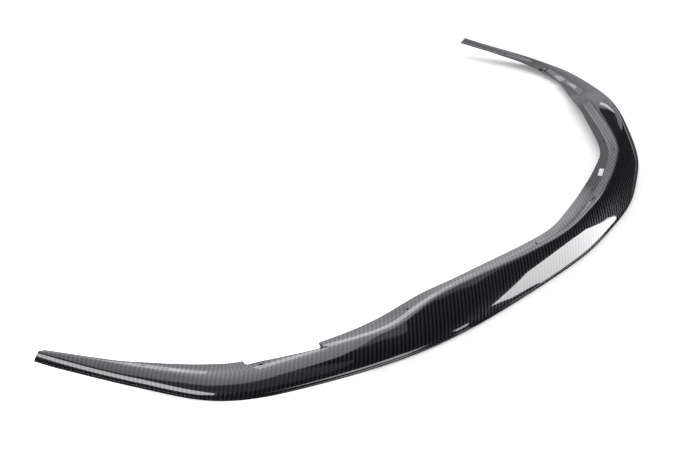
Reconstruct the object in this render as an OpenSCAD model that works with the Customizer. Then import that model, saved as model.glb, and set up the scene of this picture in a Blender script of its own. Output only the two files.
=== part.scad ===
// Front bumper lip: one moulded carbon fibre shell with a paper label on its flange.
// The origin is on the ground at the middle of the lip's width and depth. X runs across the
// car, -Y is the front, the wings sweep back along +Y, and Z is up. All sizes are millimetres.

/* [Overall] */
// Width over the two wing tips
overall_w = 1824; // [1500:1:2100]
// Depth from the front edge to the wing tips
overall_d = 574; // [450:1:700]
// Height that the wing tips kick up above the ground
tip_rise = 32; // [0:1:60]

/* [Outer face] */
// Height of the ridge over the front
front_ridge_h = 31.5; // [28:0.5:45]
// Height of the ridge at the waist, where the front runs into the wing
waist_ridge_h = 21; // [18:0.5:28]
// Height of the ridge along the wing
wing_ridge_h = 18; // [16:0.5:26]
// Width of the outer face at the middle
middle_face_w = 44.5; // [36:0.5:54]
// Width of the outer face where the front is widest
front_face_w = 65.5; // [58:0.5:76]
// Width of the outer face at the waist
waist_face_w = 53; // [46:0.5:60]
// Width of the outer face halfway along the wing
wing_face_w = 26; // [22:0.5:34]
// Width of the outer face at the wing tip
tip_face_w = 8; // [6:0.5:12]

/* [Flange] */
// Height of the mounting flange along the front
front_flange_h = 21.5; // [17:0.5:24]
// Height of the mounting flange at the waist
waist_flange_h = 14.5; // [12:0.5:15]
// Height of the wing's inner edge at the tip
tip_flange_h = 7; // [5.5:0.5:9]
// Width from the ridge to the flange's inner edge at the middle
middle_flange_w = 36.5; // [34:0.5:44]
// Width from the ridge to the flange's inner edge at the waist
waist_flange_w = 37; // [32:0.5:44]
// Width from the ridge to the inner edge of the sunk tab
tab_w = 20; // [17:0.5:24]
// Width from the ridge to the inner edge of the wing flange
wing_flange_w = 30; // [24:0.5:34]
// Width from the ridge to the wing's inner edge at the tip
tip_flange_w = 16.5; // [14:0.5:22]
// Width of the slope that runs from the ridge down to the flange
slope_w = 13; // [8:0.5:18]
// How far the round at the foot of that slope reaches onto the flange
foot_round = 2; // [1:0.5:6]
// How far the tab is sunk below the flanges beside it
tab_sink = 4; // [1:0.5:6]

/* [Shell] */
// Thickness of the laminate
wall_t = 2.4; // [1.6:0.1:3]
// Height of the rolled bead along the bottom edge
bead_h = 4.6; // [4:0.1:6]
// Depth of the groove above the bead
groove_d = 1.6; // [0.5:0.1:2]
// How far the top of the wing's end leans forward
end_lean = 3; // [0:0.5:8]
// Length over which the bead thins towards the wing's end
bead_taper = 30; // [10:1:60]

/* [Holes] */
// Diameter of the screw holes
hole_d = 5; // [3:0.1:6]
// Distance of the front screw hole from the middle, along the edge
front_hole_run = -16; // [-40:1:40]
// Distance of the inner pair of screw holes from the middle, along the edge
inner_hole_run = 294; // [200:1:400]
// Distance of the outer pair of screw holes from the middle, along the edge
outer_hole_run = 618; // [560:1:680]
// Distance of the tab's screw holes from the middle, along the edge
tab_hole_run = 886; // [840:1:890]
// Distance of the wing's screw holes from the middle, along the edge
wing_hole_run = 1062; // [1000:1:1090]

/* [Label] */
// Length of the label
label_l = 41.5; // [20:0.5:60]
// Width of the label
label_w = 8; // [5:0.5:9]
// Thickness of the label
label_t = 0.3; // [0.1:0.05:0.5]
// Distance from the middle of the lip to the middle of the label, along the edge
label_run = 91; // [60:1:110]

/* [Hidden] */

// Outer edge in plan from the middle to the tip, as shares of the half width and of the depth
edge_shape = [
    [0, 0], [0.1275, 0.014], [0.2705, 0.046], [0.464, 0.1305], [0.634, 0.223], [0.752, 0.321],
    [0.893, 0.4965], [0.949, 0.618], [0.976, 0.778], [1, 1]
];
half_edge = [for (p = edge_shape) [p[0] * overall_w / 2, p[1] * overall_d]];
last = len(half_edge) - 1;
edge_pts = [for (k = [-last:last]) [sign(k) * half_edge[abs(k)][0], half_edge[abs(k)][1]]];

// Run of each of those points along the edge, from the middle
function run_to(k) = k == 0 ? 0 : run_to(k - 1) + norm(half_edge[k] - half_edge[k - 1]);
edge_runs = [for (k = [-last:last]) sign(k) * run_to(abs(k))];
half_l = run_to(last);

// A smooth curve through the values v at the stations s
function slope_at(s, v, k) =
    let (a = max(k - 1, 0), b = min(k + 1, len(s) - 1)) (v[b] - v[a]) / (s[b] - s[a]);
function piece_of(s, x, k = 0) = k >= len(s) - 2 || x < s[k + 1] ? k : piece_of(s, x, k + 1);
function hermite(a, b, ma, mb, f) =
    a * (1 + 2 * f) * (1 - f) * (1 - f) + ma * f * (1 - f) * (1 - f)
    + b * f * f * (3 - 2 * f) + mb * f * f * (f - 1);
function smooth_at(s, v, x) =
    let (k = piece_of(s, x), h = s[k + 1] - s[k])
    hermite(v[k], v[k + 1], slope_at(s, v, k) * h, slope_at(s, v, k + 1) * h, (x - s[k]) / h);

// A size that changes along the lip: pairs of a share of the half length and a value
function along(pairs, x) =
    let (q = abs(x) / half_l)
    smooth_at(
        concat([-pairs[1][0]], [for (p = pairs) p[0]]),
        concat([pairs[1][1]], [for (p = pairs) p[1]]),
        q
    );
function face_w(x) = along([
    [0, middle_face_w], [0.1, middle_face_w - 2], [0.2, middle_face_w - 1.5],
    [0.31, (middle_face_w + front_face_w) / 2 - 3], [0.43, front_face_w], [0.49, front_face_w],
    [0.575, waist_face_w], [0.67, waist_face_w - 1.5], [0.78, (waist_face_w + wing_face_w) / 2 - 1.5],
    [0.87, wing_face_w], [0.94, (wing_face_w + tip_face_w) / 2 + 2.5], [1, tip_face_w]
], x);
function ridge_h(x) = along([
    [0, front_ridge_h + 0.5], [0.2, front_ridge_h - 1], [0.42, front_ridge_h],
    [0.475, front_ridge_h - 2], [0.52, (front_ridge_h + waist_ridge_h) / 2 - 1.2],
    [0.555, waist_ridge_h + 0.3], [0.6, waist_ridge_h - 0.8], [0.66, (waist_ridge_h + wing_ridge_h) / 2],
    [0.75, wing_ridge_h + 0.3], [0.85, wing_ridge_h], [0.93, wing_ridge_h - 2], [1, wing_ridge_h - 2.8]
], x);
function flange_h(x) = along([
    [0, front_flange_h + 2.5], [0.22, front_flange_h - 1], [0.45, front_flange_h],
    [0.51, (front_flange_h + waist_flange_h) / 2 + 0.5], [0.56, waist_flange_h],
    [0.66, waist_flange_h + 0.6], [0.72, waist_flange_h + 2.7], [0.78, waist_flange_h + 3.2],
    [0.82, waist_flange_h + 2.2], [0.9, tip_flange_h + 4.2], [0.95, tip_flange_h + 1.7],
    [1, tip_flange_h]
], x);

// Width of the flange along the front, along the sunk tab and along the wing
function front_flange(x) = along([
    [0, middle_flange_w], [0.08, middle_flange_w - 2], [0.17, middle_flange_w - 6],
    [0.27, middle_flange_w - 5], [0.34, middle_flange_w - 6], [0.42, middle_flange_w - 9.5],
    [0.5, (middle_flange_w + waist_flange_w) / 2 - 5], [0.57, waist_flange_w],
    [0.64, waist_flange_w - 10], [0.665, waist_flange_w - 13.5]
], x);
function tab_flange(x) = along([
    [0.66, tab_w - 3.5], [0.71, tab_w], [0.75, tab_w + 4.8], [0.79, tab_w + 1]
], x);
function wing_flange(x) = along([
    [0.75, wing_flange_w - 2], [0.785, wing_flange_w - 1.4], [0.825, wing_flange_w],
    [0.88, (wing_flange_w + tip_flange_w) / 2 - 0.8], [0.93, tip_flange_w - 2.2], [1, tip_flange_w]
], x);

// Slopes of the outer face in degrees, at the ridge and at its lower end
function top_slope(x) = along([[0, 12], [0.43, 12], [0.575, 7], [0.7, 0], [1, -2]], x);
function low_slope(x) = along([[0, 58], [0.43, 60], [0.575, 72], [0.7, 82], [1, 85]], x);
// Share of the face that stays flat, which is more on the wing
function flat_share(x) = along([[0, 0.4], [0.5, 0.4], [0.7, 0.7], [1, 0.7]], x);

// Height of the bottom edge above the ground: flat, then a blend into the wing's straight rise
rise_from = 0.767;
rise_blend = 0.33;
function base_z(x) =
    let (q = (abs(x) / half_l - rise_from) / (1 - rise_from))
    tip_rise / (1 - rise_blend / 2) * (
        q < 0 ? 0 : q < rise_blend ? q * q / 2 / rise_blend : q - rise_blend / 2
    );

// Direction of the edge in plan, and a point at station x that lies u inward and z up
function edge_at(x) = smooth_at(edge_runs, edge_pts, x);
function edge_dir(x) = let (d = edge_at(x + 1) - edge_at(x - 1)) d / norm(d);
function place(x, u, z, along_edge = 0) =
    let (e = edge_at(x), d = edge_dir(x), base = base_z(x))
    [e[0] - d[1] * u + d[0] * along_edge, e[1] + d[0] * u + d[1] * along_edge, base + z];

// The tab: where it starts and ends along the ridge, and how much its outer end slants
tab_from = 0.661 * half_l;
tab_to = 0.753 * half_l;
tab_slant = 16;
slant_reach = 60;
function slant_at(x) = tab_slant * max(0, 1 - abs(abs(x) - tab_to) / slant_reach) * sign(x);
function flange_w(x, on_tab = false) =
    on_tab ? tab_flange(x) : abs(x) < tab_from + 1 ? front_flange(x) : wing_flange(x);

// Lower end of the outer face, and a point of the face between it and the ridge
low_end = [0.5, bead_h + 0.8];
function face_at(x, f) =
    let (
        ridge = [face_w(x), ridge_h(x)],
        a = top_slope(x),
        b = low_slope(x),
        c1 = ridge - flat_share(x) * face_w(x) * [cos(a), sin(a)],
        c2 = low_end + (ridge[1] - low_end[1]) / 2 * [cos(b), sin(b)]
    )
    ridge * (1 - f) ^ 3 + 3 * c1 * f * (1 - f) ^ 2 + 3 * c2 * f ^ 2 * (1 - f) + low_end * f ^ 3;
function under_face(x, f) =
    let (d = face_at(x, f + 0.01) - face_at(x, f - 0.01))
    face_at(x, f) + wall_t * [-d[1], d[0]] / norm(d);

// A round between a and c that bends at b, in n pieces
function round_off(a, b, c, n) =
    [for (i = [0:n]) let (f = i / n) a * (1 - f) ^ 2 + 2 * b * f * (1 - f) + c * f ^ 2];

// The bead keeps its top and thins to half its height at the wing's end
function bead_share(x) = 1 - 0.5 * max(0, 1 - (half_l - abs(x)) / bead_taper) ^ 2;
function bead_at(x, a) =
    let (r = bead_h / 2 * bead_share(x)) [r * (1 + cos(a)), bead_h - r * (1 - sin(a))];

// One closed section: over the flange, the ridge, the face and the bead, and back underneath
function section(x, on_tab) =
    let (
        xs = x + slant_at(x),
        ridge = [face_w(x), ridge_h(x)],
        level = flange_h(x) - (on_tab ? tab_sink : 0),
        w = flange_w(xs, on_tab),
        foot = [face_w(xs) + min(slope_w, 0.75 * w), level],
        flat_end = foot + [min(foot_round, 0.12 * w), 0],
        rim = [face_w(xs) + w, level],
        slope_dir = (foot - ridge) / norm(foot - ridge)
    )
    concat(
        [rim],
        round_off(flat_end, foot, foot + (ridge - foot) * 0.3, 2),
        round_off(ridge + (foot - ridge) * 0.25, ridge, face_at(x, 0.1), 4),
        [for (f = [0.22, 0.34, 0.46, 0.58, 0.7, 0.82, 0.92]) face_at(x, f)],
        [low_end, [low_end[0] + groove_d * bead_share(x), bead_h]],
        [for (a = [120:40:280]) bead_at(x, a)],
        [bead_at(x, 325), bead_at(x, 360)],
        [for (f = [0.9, 0.74, 0.58, 0.42, 0.26]) under_face(x, f)],
        [ridge - wall_t * [0.2, 1.12]],
        [(ridge + foot) / 2 + wall_t * [slope_dir[1], -slope_dir[0]]],
        [foot - wall_t * [0.3, 1], rim - wall_t * [0, 1]]
    );
// Points that face each other across the wall, and the end of the wing cut into pieces there
wall_pairs = [
    [0, 33], [1, 32], [3, 31], [5, 30], [8, 29], [10, 28], [11, 27], [12, 26], [14, 25], [17, 24]
];
end_wall = concat(
    [for (i = [0:len(wall_pairs) - 2]) let (p = wall_pairs[i], q = wall_pairs[i + 1])
        [p[1], each [p[0]:q[0]], q[1]]],
    [[24, each [17:23]]]
);
function reversed(list) = [for (k = [len(list) - 1:-1:0]) list[k]];

// Share of the flange's slant that each point of the section takes
function slant_share(k, n) = k == 0 || k == n - 1 ? 1 : k < 4 || k >= n - 3 ? 0.6 : 0;

// Stations of the sections over half the lip, each with whether it crosses the tab
step = 1.5;
half_rings = concat(
    [for (i = [0:44]) [i / 44 * tab_from, false]],
    [for (i = [0:8]) [tab_from + step + i / 8 * (tab_to - tab_from - step), true]],
    [for (i = [0:17]) [tab_to + step + i / 17 * (half_l - tab_to - step), false]]
);
rings = concat(
    [for (i = [len(half_rings) - 1:-1:1]) [-half_rings[i][0], half_rings[i][1]]],
    half_rings
);

// The wing's end leans forward above this height and backward below it
lean_from = 8;
function end_offset(z) = end_lean * (lean_from - z) / (ridge_h(half_l) - lean_from);
mid_y = max([for (p = section(half_l, false)) place(half_l, p[0], p[1], end_offset(p[1]))[1]]) / 2;

module shell_body() {
    n = len(section(0, false));
    m = len(rings);
    points = [
        for (i = [0:m - 1])
            let (x = rings[i][0], pts = section(x, rings[i][1]), at_end = i == 0 || i == m - 1)
            for (k = [0:n - 1])
                at_end
                    ? place(x, pts[k][0], pts[k][1], sign(x) * end_offset(pts[k][1]))
                    : place(x + slant_at(x) * slant_share(k, n), pts[k][0], pts[k][1])
    ];
    sides = [
        for (i = [0:m - 2], k = [0:n - 1])
            let (a = i * n + k, b = i * n + (k + 1) % n)
            each [[a, a + n, b], [b, a + n, b + n]]
    ];
    first_end = end_wall;
    last_end = [for (face = end_wall) [for (k = reversed(face)) (m - 1) * n + k]];
    polyhedron(points, concat(sides, first_end, last_end));
}

// Where the screw holes stand: stations along the edge and distances in from the flange's edge
front_hole_inset = 17;
inner_hole_inset = 13.5;
outer_hole_inset = 15.5;
tab_hole_inset = 9;
wing_hole_inset = 11;
module screw_hole(x, inset, on_tab = false) {
    drill_h = front_ridge_h + tip_rise;
    p = place(x, face_w(x) + flange_w(x, on_tab) - inset, 0);
    translate([p[0], p[1], -1]) cylinder(h = drill_h, d = hole_d, $fn = 32);
}

module lip_shell() {
    color("#3a3b3e")
        translate([0, -mid_y, 0])
            difference() {
                shell_body();
                screw_hole(front_hole_run, front_hole_inset);
                for (side = [-1, 1]) {
                    screw_hole(side * inner_hole_run, inner_hole_inset);
                    screw_hole(side * outer_hole_run, outer_hole_inset);
                    screw_hole(side * tab_hole_run, tab_hole_inset, true);
                    screw_hole(side * wing_hole_run, wing_hole_inset);
                }
            }
}

// The label lies on the flat part of the flange and tilts with it
label_inset = 14.5;
label_lift = 0.05;
module paper_label() {
    d = edge_dir(label_run);
    u = face_w(label_run) + flange_w(label_run) - label_inset;
    ends = [for (side = [-1, 1]) flange_h(label_run + side * label_l / 2)];
    p = place(label_run, u, flange_h(label_run) + label_lift);
    color("#f2f1ec")
        translate([p[0], p[1] - mid_y, p[2]])
            rotate([0, -atan((ends[1] - ends[0]) / label_l), atan2(d[1], d[0])])
                translate([-label_l / 2, -label_w / 2, 0])
                    cube([label_l, label_w, label_t]);
}

lip_shell();
paper_label();
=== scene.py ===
# Front bumper lip in glossy twill carbon fibre, dressed over its packed shell
from math import cos, pi, radians, sin
from types import SimpleNamespace
import bmesh
import bpy
from mathutils import Matrix, Vector


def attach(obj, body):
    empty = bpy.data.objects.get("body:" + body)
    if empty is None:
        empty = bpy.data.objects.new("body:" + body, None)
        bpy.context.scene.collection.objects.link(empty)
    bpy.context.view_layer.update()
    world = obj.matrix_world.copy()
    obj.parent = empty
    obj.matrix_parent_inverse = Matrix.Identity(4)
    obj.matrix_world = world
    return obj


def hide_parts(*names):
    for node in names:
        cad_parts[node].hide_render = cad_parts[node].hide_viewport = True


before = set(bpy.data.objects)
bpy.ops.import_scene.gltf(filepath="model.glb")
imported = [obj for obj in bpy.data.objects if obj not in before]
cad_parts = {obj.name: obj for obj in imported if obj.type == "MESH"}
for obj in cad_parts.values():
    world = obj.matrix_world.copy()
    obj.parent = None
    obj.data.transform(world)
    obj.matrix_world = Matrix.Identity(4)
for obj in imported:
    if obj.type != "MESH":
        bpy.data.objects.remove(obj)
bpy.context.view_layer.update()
mm = 0.001


# Small helpers
def hexColour(code):
    # sRGB hex to the linear colour that shaders want
    parts = [int(code[i:i + 2], 16) / 255 for i in (1, 3, 5)]
    return [c / 12.92 if c <= 0.04045 else ((c + 0.055) / 1.055) ** 2.4 for c in parts] + [1.0]


def addNode(tree, kind, settings=None, links=None, values=None):
    # one node with its settings, its inputs' values and its incoming links
    node = tree.nodes.new(kind)
    for name, value in (settings or {}).items():
        setattr(node, name, value)
    for name, value in (values or {}).items():
        node.inputs[name].default_value = value
    for name, socket in (links or {}).items():
        tree.links.new(socket, node.inputs[name])
    return node


def newMaterial(name):
    material = bpy.data.materials.new(name)
    material.use_nodes = True
    material.node_tree.nodes.clear()
    return material, material.node_tree


def finishPiece(bm, name, material):
    mesh = bpy.data.meshes.new(name)
    bm.to_mesh(mesh)
    bm.free()
    mesh.materials.append(material)
    piece = bpy.data.objects.new(name, mesh)
    bpy.context.collection.objects.link(piece)
    return piece


# The lip's form
# Sizes in millimetres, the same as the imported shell's
lip = dict(
    width=1824, depth=574, tipRise=32,
    frontRidge=31.5, waistRidge=21, wingRidge=18,
    middleFace=44.5, frontFace=65.5, waistFace=53, wingFace=26, tipFace=8,
    frontFlange=21.5, waistFlange=14.5, tipFlange=7,
    middleFlangeW=36.5, waistFlangeW=37, tabW=20, wingFlangeW=30, tipFlangeW=16.5,
    slopeW=13, footRound=2, tabSink=4, wall=2.4, bead=4.6, groove=1.6, faceInset=0.5, grooveHigh=0.8,
    endLean=3, beadTaper=30,
    riseFrom=0.767, riseBlend=0.33, tabFrom=0.661, tabTo=0.753, tabSlant=16, slantReach=60, leanFrom=8,
)
size = SimpleNamespace(**lip)
edgeShape = [
    (0, 0), (0.1275, 0.014), (0.2705, 0.046), (0.464, 0.1305), (0.634, 0.223), (0.752, 0.321),
    (0.893, 0.4965), (0.949, 0.618), (0.976, 0.778), (1, 1),
]
halfEdge = [Vector((x * size.width / 2, y * size.depth)) for x, y in edgeShape]
halfRuns = [0.0]
for a, b in zip(halfEdge, halfEdge[1:]):
    halfRuns.append(halfRuns[-1] + (b - a).length)
halfLength = halfRuns[-1]
edgeRuns = [-run for run in reversed(halfRuns[1:])] + halfRuns
edgePoints = [Vector((-p.x, p.y)) for p in reversed(halfEdge[1:])] + halfEdge


def smoothAt(stations, values, x):
    # a smooth curve through the values at the stations
    last = len(stations) - 1
    k = 0
    while k < last - 1 and x >= stations[k + 1]:
        k += 1

    def slope(i):
        a, b = max(i - 1, 0), min(i + 1, last)
        return (values[b] - values[a]) / (stations[b] - stations[a])

    h = stations[k + 1] - stations[k]
    f = (x - stations[k]) / h
    return (values[k] * ((1 + 2 * f) * (1 - f) ** 2) + slope(k) * (h * f * (1 - f) ** 2)
            + values[k + 1] * (f * f * (3 - 2 * f)) + slope(k + 1) * (h * f * f * (f - 1)))


def along(pairs, run):
    # a size that changes along the lip, given at shares of the half length
    stations = [-pairs[1][0]] + [p[0] for p in pairs]
    values = [pairs[1][1]] + [p[1] for p in pairs]
    return smoothAt(stations, values, abs(run) / halfLength)


facePairs = [
    (0, size.middleFace), (0.1, size.middleFace - 2), (0.2, size.middleFace - 1.5),
    (0.31, (size.middleFace + size.frontFace) / 2 - 3), (0.43, size.frontFace), (0.49, size.frontFace),
    (0.575, size.waistFace), (0.67, size.waistFace - 1.5),
    (0.78, (size.waistFace + size.wingFace) / 2 - 1.5), (0.87, size.wingFace),
    (0.94, (size.wingFace + size.tipFace) / 2 + 2.5), (1, size.tipFace),
]
ridgePairs = [
    (0, size.frontRidge + 0.5), (0.2, size.frontRidge - 1), (0.42, size.frontRidge),
    (0.475, size.frontRidge - 2), (0.52, (size.frontRidge + size.waistRidge) / 2 - 1.2),
    (0.555, size.waistRidge + 0.3), (0.6, size.waistRidge - 0.8),
    (0.66, (size.waistRidge + size.wingRidge) / 2), (0.75, size.wingRidge + 0.3),
    (0.85, size.wingRidge), (0.93, size.wingRidge - 2), (1, size.wingRidge - 2.8),
]
flangePairs = [
    (0, size.frontFlange + 2.5), (0.22, size.frontFlange - 1), (0.45, size.frontFlange),
    (0.51, (size.frontFlange + size.waistFlange) / 2 + 0.5), (0.56, size.waistFlange),
    (0.66, size.waistFlange + 0.6), (0.72, size.waistFlange + 2.7), (0.78, size.waistFlange + 3.2),
    (0.82, size.waistFlange + 2.2), (0.9, size.tipFlange + 4.2), (0.95, size.tipFlange + 1.7),
    (1, size.tipFlange),
]
frontFlangePairs = [
    (0, size.middleFlangeW), (0.08, size.middleFlangeW - 2), (0.17, size.middleFlangeW - 6),
    (0.27, size.middleFlangeW - 5), (0.34, size.middleFlangeW - 6), (0.42, size.middleFlangeW - 9.5),
    (0.5, (size.middleFlangeW + size.waistFlangeW) / 2 - 5), (0.57, size.waistFlangeW),
    (0.64, size.waistFlangeW - 10), (0.665, size.waistFlangeW - 13.5),
]
tabPairs = [(0.66, size.tabW - 3.5), (0.71, size.tabW), (0.75, size.tabW + 4.8), (0.79, size.tabW + 1)]
wingFlangePairs = [
    (0.75, size.wingFlangeW - 2), (0.785, size.wingFlangeW - 1.4), (0.825, size.wingFlangeW),
    (0.88, (size.wingFlangeW + size.tipFlangeW) / 2 - 0.8), (0.93, size.tipFlangeW - 2.2),
    (1, size.tipFlangeW),
]
topSlopePairs = [(0, 12), (0.43, 12), (0.575, 7), (0.7, 0), (1, -2)]
lowSlopePairs = [(0, 58), (0.43, 60), (0.575, 72), (0.7, 82), (1, 85)]
flatSharePairs = [(0, 0.4), (0.5, 0.4), (0.7, 0.7), (1, 0.7)]
tabFrom, tabTo = size.tabFrom * halfLength, size.tabTo * halfLength


def baseHeight(run):
    # the wings rise off the ground: a blend, then a straight rise
    q = (abs(run) / halfLength - size.riseFrom) / (1 - size.riseFrom)
    b = size.riseBlend
    lift = 0 if q < 0 else q * q / 2 / b if q < b else q - b / 2
    return size.tipRise / (1 - b / 2) * lift


def edgeFrame(run):
    # the edge's point in plan and its direction
    point = smoothAt(edgeRuns, edgePoints, run)
    ahead = smoothAt(edgeRuns, edgePoints, run + 1) - smoothAt(edgeRuns, edgePoints, run - 1)
    return point, ahead.normalized()


def place(run, u, z, shift=0):
    point, ahead = edgeFrame(run)
    inward = Vector((-ahead.y, ahead.x))
    flat = point + inward * u + ahead * shift
    return Vector((flat.x, flat.y - midDepth, baseHeight(run) + z))


def slantAt(run):
    reach = max(0, 1 - abs(abs(run) - tabTo) / size.slantReach)
    return size.tabSlant * reach * (1 if run > 0 else -1)


def flangeWidth(run, onTab):
    if onTab:
        return along(tabPairs, run)
    return along(frontFlangePairs if abs(run) < tabFrom + 1 else wingFlangePairs, run)


def faceCurve(run):
    # the outer face from the ridge down to the groove, as one cubic curve
    ridge = Vector((along(facePairs, run), along(ridgePairs, run)))
    top, low = radians(along(topSlopePairs, run)), radians(along(lowSlopePairs, run))
    end = Vector((size.faceInset, size.bead + size.grooveHigh))
    c1 = ridge - Vector((cos(top), sin(top))) * (along(flatSharePairs, run) * ridge.x)
    c2 = end + Vector((cos(low), sin(low))) * ((ridge.y - end.y) / 2)

    def at(f):
        return (ridge * (1 - f) ** 3 + c1 * (3 * f * (1 - f) ** 2)
                + c2 * (3 * f * f * (1 - f)) + end * f ** 3)
    return at


def roundOff(a, b, c, pieces):
    # a round from a to c that bends towards the corner b
    shares = [i / pieces for i in range(pieces + 1)]
    return [a * (1 - f) ** 2 + b * (2 * f * (1 - f)) + c * f * f for f in shares]


# how many pieces each stretch of the section has
rings = dict(footRound=4, ridgeRound=10, face=18, bead=14, under=14)
rimPoints, underFlangePoints = 3, 4
flangePoints = rimPoints + rings["footRound"] + 1
# the section's finer form: reaches and shares are parts of the stretch they lie on, angles in degrees
form = dict(
    edgeRound=0.35, slopeShare=0.75, footShare=0.12, footReach=0.3, ridgeReach=0.25, faceStart=0.1,
    grooveLip=0.7, grooveRise=0.35, beadStart=120, beadTurn=240, underStart=0.9, underSpan=0.64,
    ridgeUnder=(0.2, 1.12), footUnder=(0.3, 1), slantFade=0.6, nudge=0.01,
)


def section(run, onTab=False):
    # one closed section, as points: flange, ridge, face, bead, and back underneath
    shifted = run + slantAt(run)
    at = faceCurve(run)
    ridge = at(0)
    level = along(flangePairs, run) - (size.tabSink if onTab else 0)
    width = flangeWidth(shifted, onTab)
    faceEnd = along(facePairs, shifted)
    foot = Vector((faceEnd + min(size.slopeW, form["slopeShare"] * width), level))
    rim = Vector((faceEnd + width, level))
    flatEnd = foot + Vector((min(size.footRound, form["footShare"] * width), 0))
    r, w = form["edgeRound"], size.wall
    down = (foot - ridge).normalized()
    slopeUnder = Vector((down.y, -down.x)) * w
    beadR = size.bead / 2 * beadShare(run)

    def beadAt(angle):
        a = radians(angle)
        return Vector((beadR * (1 + cos(a)), size.bead - beadR * (1 - sin(a))))

    def underFace(f):
        d = at(f + form["nudge"]) - at(f - form["nudge"])
        return at(f) + Vector((-d.y, d.x)).normalized() * w

    top = [rim + Vector((0, -r)), rim + Vector((-r, 0)), (rim + flatEnd) / 2]
    top += roundOff(flatEnd, foot, foot + (ridge - foot) * form["footReach"], rings["footRound"])
    start = form["faceStart"]
    top += roundOff(ridge + (foot - ridge) * form["ridgeReach"], ridge, at(start), rings["ridgeRound"])
    n = rings["face"]
    top += [at(start + (i + 1) / n * (1 - start)) for i in range(n)]
    groove = size.groove * beadShare(run)
    top += [Vector((size.faceInset + groove * form["grooveLip"], size.bead + form["grooveRise"])),
            Vector((size.faceInset + groove, size.bead))]
    n = rings["bead"]
    top += [beadAt(form["beadStart"] + i / n * form["beadTurn"]) for i in range(n + 1)]
    n = rings["under"]
    under = [underFace(form["underStart"] - i / n * form["underSpan"]) for i in range(n + 1)]
    under += [ridge - Vector(form["ridgeUnder"]) * w, (ridge + foot) / 2 + slopeUnder]
    under += [foot - Vector(form["footUnder"]) * w, rim + Vector((-r, -w)), rim + Vector((0, r - w))]
    return top + under


def beadShare(run):
    return 1 - 0.5 * max(0, 1 - (halfLength - abs(run)) / size.beadTaper) ** 2


def slantShare(k, count):
    # how much of the tab's slanted end each point follows
    if k < rimPoints or k >= count - underFlangePoints / 2:
        return 1
    return form["slantFade"] if k < flangePoints or k >= count - underFlangePoints else 0


def endOffset(z):
    return size.endLean * (size.leanFrom - z) / (along(ridgePairs, halfLength) - size.leanFrom)


midDepth = 0
midDepth = max(place(halfLength, p.x, p.y, endOffset(p.y)).y for p in section(halfLength)) / 2

steps = dict(front=150, tab=24, wing=72, gap=1.5)
halfStations = [(i / steps["front"] * tabFrom, False) for i in range(steps["front"] + 1)]
halfStations += [(tabFrom + steps["gap"] + i / steps["tab"] * (tabTo - tabFrom - steps["gap"]), True)
                 for i in range(steps["tab"] + 1)]
halfStations += [(tabTo + steps["gap"] + i / steps["wing"] * (halfLength - tabTo - steps["gap"]), False)
                 for i in range(steps["wing"] + 1)]
stations = [(-run, onTab) for run, onTab in reversed(halfStations[1:])] + halfStations


def buildShell():
    # a flat grid, one column for each station and one row for each point of the section
    across, around = len(stations) - 1, len(section(0))
    bm = bmesh.new()
    bmesh.ops.create_grid(bm, x_segments=across, y_segments=around, size=1)
    sections = [section(run, onTab) for run, onTab in stations]
    lengths = []
    for points in sections:
        # distance over the surface, with the ridge as zero
        ridgeIndex = flangePoints + rings["ridgeRound"] // 2
        walk = [0.0]
        for a, b in zip(points, points[1:] + points[:1]):
            walk.append(walk[-1] + (b - a).length)
        lengths.append([w - walk[ridgeIndex] for w in walk])
    clothLayer = bm.verts.layers.float_vector.new("cloth")
    for vert in bm.verts:
        i = round((vert.co.x + 1) / 2 * across)
        k = round((vert.co.y + 1) / 2 * around)
        run, onTab = stations[i]
        p = sections[i][k % around]
        if i in (0, across):
            spot = place(run, p.x, p.y, endOffset(p.y) * (1 if run > 0 else -1))
        else:
            spot = place(run + slantAt(run) * slantShare(k % around, around), p.x, p.y)
        # the cloth lies unrolled: inwards of the ridge up to the flange, outwards down the face
        edge, ahead = edgeFrame(run)
        inward = Vector((-ahead.y, ahead.x))
        cloth = edge + inward * (along(facePairs, run) - lengths[i][k])
        vert[clothLayer] = (cloth.x * mm, cloth.y * mm, 0)
        vert.co = spot * mm
    uvLayer = bm.loops.layers.uv.new("cloth")
    for face in bm.faces:
        for loop in face.loops:
            loop[uvLayer].uv = loop.vert[clothLayer].xy
    bmesh.ops.remove_doubles(bm, verts=bm.verts, dist=1e-6)
    ends = [e for e in bm.edges if e.is_boundary]
    bmesh.ops.holes_fill(bm, edges=ends, sides=0)
    bmesh.ops.recalc_face_normals(bm, faces=bm.faces)
    return bm


screws = dict(diameter=5, frontRun=-16, frontInset=17, innerRun=294, innerInset=13.5, outerRun=618,
              outerInset=15.5, tabRun=886, tabInset=9, wingRun=1062, wingInset=11)


def screwSpots():
    spots = [(screws["frontRun"], screws["frontInset"], False)]
    for side in (-1, 1):
        spots += [(side * screws["innerRun"], screws["innerInset"], False),
                  (side * screws["outerRun"], screws["outerInset"], False),
                  (side * screws["tabRun"], screws["tabInset"], True),
                  (side * screws["wingRun"], screws["wingInset"], False)]
    return spots


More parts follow.
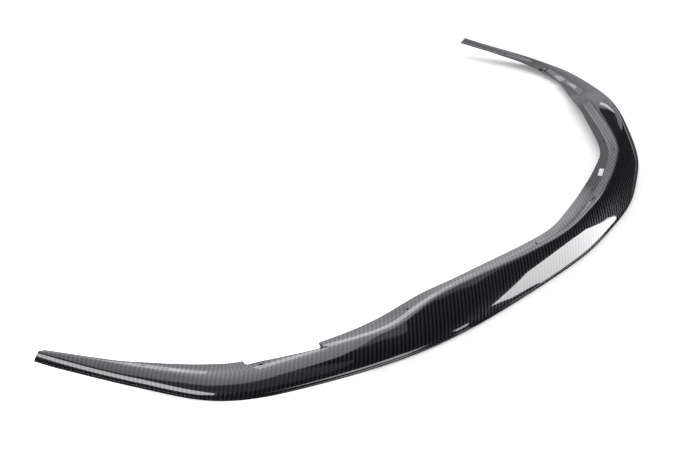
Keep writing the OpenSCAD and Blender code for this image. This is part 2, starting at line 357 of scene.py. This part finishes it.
def drill(piece):
    # one cutter mesh holds all the drills
    bm = bmesh.new()
    for run, inset, onTab in screwSpots():
        p = place(run, along(facePairs, run) + flangeWidth(run, onTab) - inset, 0)
        height = (size.frontRidge + size.tipRise) * mm
        bmesh.ops.create_cone(bm, cap_ends=True, segments=32, radius1=screws["diameter"] / 2 * mm,
                              radius2=screws["diameter"] / 2 * mm, depth=height,
                              matrix=Matrix.Translation((p.x * mm, p.y * mm, height / 2 - mm)))
    mesh = bpy.data.meshes.new("drills")
    bm.to_mesh(mesh)
    bm.free()
    drills = bpy.data.objects.new("drills", mesh)
    bpy.context.collection.objects.link(drills)
    cut = piece.modifiers.new("screwHoles", "BOOLEAN")
    cut.object, cut.operation, cut.solver = drills, "DIFFERENCE", "EXACT"
    bpy.context.view_layer.update()
    evaluated = piece.evaluated_get(bpy.context.evaluated_depsgraph_get())
    drilled = bpy.data.meshes.new_from_object(evaluated)
    piece.modifiers.clear()
    piece.data = drilled
    bpy.data.objects.remove(drills)


def softenShading(piece, limit):
    # smooth all over, with the folds sharper than the limit kept as edges
    bm = bmesh.new()
    bm.from_mesh(piece.data)
    for face in bm.faces:
        face.smooth = True
    for edge in bm.edges:
        edge.smooth = edge.calc_face_angle(0) < radians(limit)
    bm.to_mesh(piece.data)
    bm.free()


# Materials
carbon = dict(
    tow=1.95, ribAngle=22,            # 2x2 twill of 2 mm tows, its ribs about 5.5 mm apart
    warp="#2a2a2d", weft="#0e0e0f",   # painted sheen and shade: the warp's lighter colour stands for a glint along its fibres, the weft's darker colour for shade
    warpMetal=0.5, warpRoughness=0.3, weftRoughness=0.5, fibreShine=0.0,
    coatRoughness=0.03, coatIor=1.5, towRise=0.006,
)


def carbonFibre():
    # carbon fibre laminate, 2x2 twill under a polished clear coat: dark tows below a mirror-like skin
    material, tree = newMaterial("clearCoatedTwillCarbonFibre")
    cloth = addNode(tree, "ShaderNodeUVMap", {"uv_map": "cloth"})
    turned = addNode(tree, "ShaderNodeMapping", {"vector_type": "TEXTURE"},
                     {"Vector": cloth.outputs["UV"]},
                     {"Rotation": (0, 0, radians(carbon["ribAngle"] + 45)),
                      "Scale": (carbon["tow"] * mm, carbon["tow"] * mm, 1)})
    tows = addNode(tree, "ShaderNodeSeparateXYZ", links={"Vector": turned.outputs[0]})

    def calc(operation, a, b=None):
        node = addNode(tree, "ShaderNodeMath", {"operation": operation})
        for slot, value in enumerate((a, b)):
            if value is None:
                continue
            if isinstance(value, (int, float)):
                node.inputs[slot].default_value = value
            else:
                tree.links.new(value, node.inputs[slot])
        return node.outputs[0]

    def either(weft, warp):
        return addNode(tree, "ShaderNodeMix", {"data_type": "FLOAT"}, {"Factor": warpOnTop},
                       {"A": weft, "B": warp}).outputs[0]

    warpCell, weftCell = calc("FLOOR", tows.outputs["X"]), calc("FLOOR", tows.outputs["Y"])
    step = calc("FLOORED_MODULO", calc("ADD", warpCell, weftCell), 4)
    warpOnTop = calc("LESS_THAN", step, 2)
    # each tow is a low round bundle
    acrossWarp = calc("SINE", calc("MULTIPLY", calc("FRACT", tows.outputs["X"]), pi))
    acrossWeft = calc("SINE", calc("MULTIPLY", calc("FRACT", tows.outputs["Y"]), pi))
    bulge = addNode(tree, "ShaderNodeMix", {"data_type": "FLOAT"},
                    {"Factor": warpOnTop, "A": acrossWeft, "B": acrossWarp})
    # painted sheen and shade in the base colour: warp tows lighter as if glinting, weft tows darker as
    # if in shade
    colour = addNode(tree, "ShaderNodeMix", {"data_type": "RGBA"}, {"Factor": warpOnTop})
    colour.inputs["A"].default_value = hexColour(carbon["weft"])
    colour.inputs["B"].default_value = hexColour(carbon["warp"])
    bump = addNode(tree, "ShaderNodeBump", links={"Height": bulge.outputs[0]},
                   values={"Strength": 1.0, "Distance": carbon["towRise"] * mm})
    shader = addNode(tree, "ShaderNodeBsdfPrincipled",
                     links={"Base Color": colour.outputs[2], "Normal": bump.outputs["Normal"],
                            "Metallic": either(0.0, carbon["warpMetal"]),
                            "Roughness": either(carbon["weftRoughness"], carbon["warpRoughness"])},
                     values={"IOR": 1.5, "Specular IOR Level": carbon["fibreShine"], "Coat Weight": 1.0,
                             "Coat Roughness": carbon["coatRoughness"], "Coat IOR": carbon["coatIor"]})
    addNode(tree, "ShaderNodeOutputMaterial", links={"Surface": shader.outputs[0]})
    return material


def labelPaper():
    # uncoated paper, calendered: matt, with a faint grain
    material, tree = newMaterial("uncoatedLabelPaper")
    place = addNode(tree, "ShaderNodeTexCoord")
    fibres = addNode(tree, "ShaderNodeTexNoise", links={"Vector": place.outputs["Object"]},
                     values={"Scale": 900, "Detail": 3})
    colour = addNode(tree, "ShaderNodeMix", {"data_type": "RGBA"}, {"Factor": fibres.outputs["Fac"]})
    colour.inputs["A"].default_value = hexColour("#d3d4d8")
    colour.inputs["B"].default_value = hexColour("#dedfe2")
    shader = addNode(tree, "ShaderNodeBsdfPrincipled", links={"Base Color": colour.outputs[2]},
                     values={"Roughness": 0.8})
    addNode(tree, "ShaderNodeOutputMaterial", links={"Surface": shader.outputs[0]})
    return material


# Studio
studio = dict(floorSize=16, lens=1185.86, frameWidth=683,
              camera=(-1.96303, -0.55604, 0.74232), right=(0.37997, -0.92500, 0.0),
              forward=(0.85611, 0.35167, -0.37869), whitePaper="#ffffff",
              daylight=1.0, drapes=0.01, clothWhite="#f8f8ff", lampWhite="#ffffff")
# Painted light on the floor, seen by the camera only: the paper's glow falls from the near wing, where
# it washes out the wing's shadow, to the far one, and fades out over a line under the front, so the
# soft shadows show on the floor there
paperGlow = dict(nearX=-0.7, nearGlow=0.75, farX=0.1, farGlow=0.2)
frontLine = dict(normal=(0.232, 0.973, 0), start=-0.2535, end=-0.2135, glow=0.075)
# What the gloss mirrors: each panel's corners as (azimuth from +X, elevation) in degrees, and its glow
panels = dict(
    creaseLine=dict(corners=[(0.2, 4.1), (5.5, 5.4), (5.5, 6.6), (0.4, 4.9)], glow=1.8, distance=29),
    backdrop=dict(corners=[(-1.5, -14), (75, -14), (75, 40), (9, 40), (3.4, 8), (0.6, 4.7),
                           (-1.5, 4.1)], glow=0.42, fade=dict(axis="Z", start=12, end=21, glow=1.7)),
    frontDash=dict(corners=[(-50, 42), (-48.5, 38), (-60, 27), (-63, 27.5), (-60.5, 32)], glow=6),
    leftSoftbox=dict(corners=[(163, 9), (194, 9), (207, 25), (210, 47), (197, 56), (165, 57)],
                     glow=9.5, white="lampWhite"),
    rightSoftbox=dict(corners=[(-31, 6), (-27, 16), (-19.5, 27), (-20, 39), (-34, 39.5), (-45, 30),
                               (-51, 17), (-42, 12)], glow=8.5, white="lampWhite"),
    stripLight=dict(corners=[(-119, -2), (-103, -9), (-88, 12), (-72, 30), (-77, 42), (-96, 26)],
                    glow=6, white="lampWhite"),
)
# level panels, seen from above: height, glow and corners in metres
flatPanels = dict(
    overheadScrim=dict(height=1.0, glow=1.95, corners=[
        (-1.1, 0.28), (-0.46, 0.17), (-0.2, 0.24), (0.05, 0.27), (0.3, 0.21), (0.6, 0.27), (0.86, 0.04),
        (1.2, -0.33), (2.0, -0.35), (2.7, 0.1), (2.7, 2.0), (-1.1, 2.0)],
        fade=dict(axis="X", start=2.05, end=2.7, glow=0.5)),
    nearScrim=dict(height=0.99, glow=2.2, corners=[
        (-1.1, 0.28), (-0.46, 0.17), (-0.2, 0.24), (-0.3, 1.4), (-1.1, 1.4)]),
    scrimFringe=dict(height=1.01, glow=0.55, corners=[
        (0.3, 0.35), (0.45, 0.13), (0.48, 0), (0.7, -0.18), (1.0, -0.3), (1.3, -0.3), (0.9, 0.35)]),
    greyCeiling=dict(height=1.02, glow=0.35, corners=[
        (-1.5, 0.4), (-1.5, -0.5), (-0.5, -0.5), (0, -0.1), (0.1, 0.3)]),
    frontCloth=dict(height=0.0005, glow=0.1, corners=[
        (-0.55, -0.17), (-0.42, -0.21), (-0.25, -0.26), (0, -0.287), (0.25, -0.26), (0.42, -0.21),
        (0.58, -0.16), (0.69, -0.1), (0.81, 0), (0.865, 0.07), (0.89, 0.16), (0.91, 0.29), (1.2, 0.5),
        (1.5, 0), (1.2, -0.6), (0, -0.9), (-0.5, -0.6)]),
    innerCloth=dict(height=0.0005, glow=1.5, corners=[
        (-0.45, -0.08), (-0.25, -0.13), (0, -0.15), (0.3, -0.1), (0.6, 0.1), (0.6, 0.3), (0, 0.08)]),
    wingCloth=dict(height=0.0005, glow=0.1, corners=[
        (-0.81, 0), (-0.865, 0.07), (-0.89, 0.16), (-0.91, 0.3), (-1.0, 0.45), (-1.4, 0.45),
        (-1.4, -0.2), (-1.1, -0.3)]),
)
# upright panels along a line in plan, from one height to another
walls = dict(
    greyCard=dict(line=[(0.80, -0.115), (0.97, 0.03), (1.05, 0.3), (1.0, 0.5)], low=0, high=0.12,
                  glow=0.5),
    ridgeLight=dict(line=[(2, 1.05), (2, 1.8)], low=0, high=0.78, glow=2.3),
    ridgeLightLow=dict(line=[(2, 0.3), (2, 1.05)], low=0, high=0.12, glow=2),
    ridgeLightMiddle=dict(line=[(1.99, 0.66), (1.99, 1.05)], low=0, high=0.25, glow=2.1),
    ridgeLightSide=dict(line=[(2, 0.35), (2, 1.05)], low=0.12, high=0.78, glow=0.5,
                        fade=dict(axis="Z", start=0.3, end=0.72, glow=1.35)),
    ridgeLightHigh=dict(line=[(2, 0.64), (2, 1.8)], low=0.78, high=0.99, glow=3),
    ridgeLightHighSide=dict(line=[(2, 0.35), (2, 0.64)], low=0.78, high=0.99, glow=2.1),
)


# black cards on edge close to the bead: the spans in shares of the half length, the rest in millimetres
beadCards = dict(nearWing=(-1, -0.76), front=(-0.43, 0.15))
cardSize = dict(gap=1, height=6.2, step=8, glow=0.08)


def glowMaterial(name, glow, fade=None, white=studio["clothWhite"]):
    # an even glow, or one that changes along an axis between two places in metres
    material, tree = newMaterial(name)
    light = addNode(tree, "ShaderNodeEmission", values={"Color": hexColour(white), "Strength": glow})
    if fade:
        place = addNode(tree, "ShaderNodeTexCoord")
        axes = addNode(tree, "ShaderNodeSeparateXYZ", links={"Vector": place.outputs["Object"]})
        change = addNode(tree, "ShaderNodeMapRange", links={"Value": axes.outputs[fade["axis"]]},
                         values={"From Min": fade["start"], "From Max": fade["end"], "To Min": glow,
                                 "To Max": fade["glow"]})
        tree.links.new(change.outputs["Result"], light.inputs["Strength"])
    addNode(tree, "ShaderNodeOutputMaterial", links={"Surface": light.outputs[0]})
    return material


def stagePanel(bm, name, material):
    # panels only show in the gloss
    panel = finishPiece(bm, name, material)
    panel.visible_camera = panel.visible_diffuse = panel.visible_shadow = False
    panel.visible_transmission = panel.visible_volume_scatter = False


def buildPanel(name, corners, glow, fade=None, distance=30, white="clothWhite"):
    rays = []
    for azimuth, height in corners:
        a, h = radians(azimuth), radians(height)
        rays.append(Vector((cos(a) * cos(h), sin(a) * cos(h), sin(h))))
    middle = sum(rays, Vector()).normalized()
    bm = bmesh.new()
    bm.faces.new([bm.verts.new(ray * distance / ray.dot(middle)) for ray in rays])
    stagePanel(bm, name, glowMaterial(name + "Glow", glow, fade, studio[white]))


def buildFlatPanel(name, corners, glow, height, fade=None):
    bm = bmesh.new()
    bm.faces.new([bm.verts.new((x, y, height)) for x, y in corners])
    stagePanel(bm, name, glowMaterial(name + "Glow", glow, fade))


def buildWall(name, line, low, high, glow, fade=None):
    bm = bmesh.new()
    foot = [bm.verts.new((x, y, low)) for x, y in line]
    edges = [bm.edges.new(pair) for pair in zip(foot, foot[1:])]
    raised = bmesh.ops.extrude_edge_only(bm, edges=edges)
    top = [v for v in raised["geom"] if isinstance(v, bmesh.types.BMVert)]
    bmesh.ops.translate(bm, verts=top, vec=(0, 0, high - low))
    stagePanel(bm, name, glowMaterial(name + "Glow", glow, fade))


def buildBeadCard(name, start, end):
    # follows the bottom edge and its rise, so the bead doesn't mirror the softboxes
    bm = bmesh.new()
    count = round((end - start) * halfLength / cardSize["step"])
    runs = [(start + (end - start) * i / count) * halfLength for i in range(count + 1)]
    rows = []
    for z in (0, cardSize["height"]):
        rows.append([bm.verts.new(place(run, -cardSize["gap"], z) * mm) for run in runs])
    for i in range(count):
        bm.faces.new((rows[0][i], rows[0][i + 1], rows[1][i + 1], rows[1][i]))
    stagePanel(bm, name, glowMaterial(name + "Black", cardSize["glow"]))


def buildStudio():
    # white paper floor under plain white light, with a painted glow for the camera that pales its
    # shadow by place
    material, tree = newMaterial("whitePaperFloor")
    rays = addNode(tree, "ShaderNodeLightPath")
    paper = addNode(tree, "ShaderNodeBsdfDiffuse", values={"Color": hexColour(studio["whitePaper"])})
    spot = addNode(tree, "ShaderNodeTexCoord")
    across = addNode(tree, "ShaderNodeVectorMath", {"operation": "DOT_PRODUCT"},
                     {0: spot.outputs["Object"]}, {1: frontLine["normal"]})
    axes = addNode(tree, "ShaderNodeSeparateXYZ", links={"Vector": spot.outputs["Object"]})
    inside = addNode(tree, "ShaderNodeMapRange", links={"Value": axes.outputs["X"]},
                     values={"From Min": paperGlow["nearX"], "From Max": paperGlow["farX"],
                             "To Min": paperGlow["nearGlow"], "To Max": paperGlow["farGlow"]})
    level = addNode(tree, "ShaderNodeMapRange",
                    links={"Value": across.outputs["Value"], "To Max": inside.outputs["Result"]},
                    values={"From Min": frontLine["start"], "From Max": frontLine["end"],
                            "To Min": frontLine["glow"]})
    part = addNode(tree, "ShaderNodeMath", {"operation": "MULTIPLY"},
                   {0: rays.outputs["Is Camera Ray"], 1: level.outputs["Result"]})
    glow = addNode(tree, "ShaderNodeEmission", links={"Strength": part.outputs[0]},
                   values={"Color": (1, 1, 1, 1)})
    both = addNode(tree, "ShaderNodeAddShader", links={0: paper.outputs[0], 1: glow.outputs[0]})
    addNode(tree, "ShaderNodeOutputMaterial", links={"Surface": both.outputs[0]})
    bm = bmesh.new()
    bmesh.ops.create_grid(bm, x_segments=1, y_segments=1, size=studio["floorSize"] / 2)
    finishPiece(bm, "floor", material)

    # even white light on everything, with dark drapes where the gloss looks past the panels
    world = bpy.data.worlds.new("studioWorld")
    bpy.context.scene.world = world
    world.use_nodes = True
    tree = world.node_tree
    tree.nodes.clear()
    rays = addNode(tree, "ShaderNodeLightPath")
    strength = addNode(tree, "ShaderNodeMix", {"data_type": "FLOAT"},
                       {"Factor": rays.outputs["Is Glossy Ray"]},
                       {"A": studio["daylight"], "B": studio["drapes"]})
    back = addNode(tree, "ShaderNodeBackground", links={"Strength": strength.outputs[0]},
                   values={"Color": (1, 1, 1, 1)})
    addNode(tree, "ShaderNodeOutputWorld", links={"Surface": back.outputs[0]})
    for name, values in panels.items():
        buildPanel(name, **values)
    for name, values in flatPanels.items():
        buildFlatPanel(name, **values)
    for name, values in walls.items():
        buildWall(name, **values)
    for name, span in beadCards.items():
        buildBeadCard(name + "Card", *span)


def buildCamera():
    data = bpy.data.cameras.new("camera")
    data.sensor_width, data.lens = 36, 36 * studio["lens"] / studio["frameWidth"]
    data.clip_start, data.clip_end = 0.05, 60
    camera = bpy.data.objects.new("camera", data)
    bpy.context.collection.objects.link(camera)
    right, forward = Vector(studio["right"]).normalized(), Vector(studio["forward"]).normalized()
    up = right.cross(forward)
    turn = Matrix((right, up, -forward)).transposed().to_4x4()
    camera.matrix_world = Matrix.Translation(studio["camera"]) @ turn
    bpy.context.scene.camera = camera
    bpy.context.scene.view_settings.view_transform = "Standard"


buildCamera()
buildStudio()
print("studio ready")

carbonMaterial = carbonFibre()
shell = finishPiece(buildShell(), "carbonShell", carbonMaterial)
drill(shell)
softenShading(shell, 40)
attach(shell, "root")
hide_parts("lip_shell")
print("shell ready:", len(shell.data.polygons), "faces")

paper = labelPaper()
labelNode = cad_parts["paper_label"]
labelNode.data.materials.clear()
labelNode.data.materials.append(paper)
print("label ready")
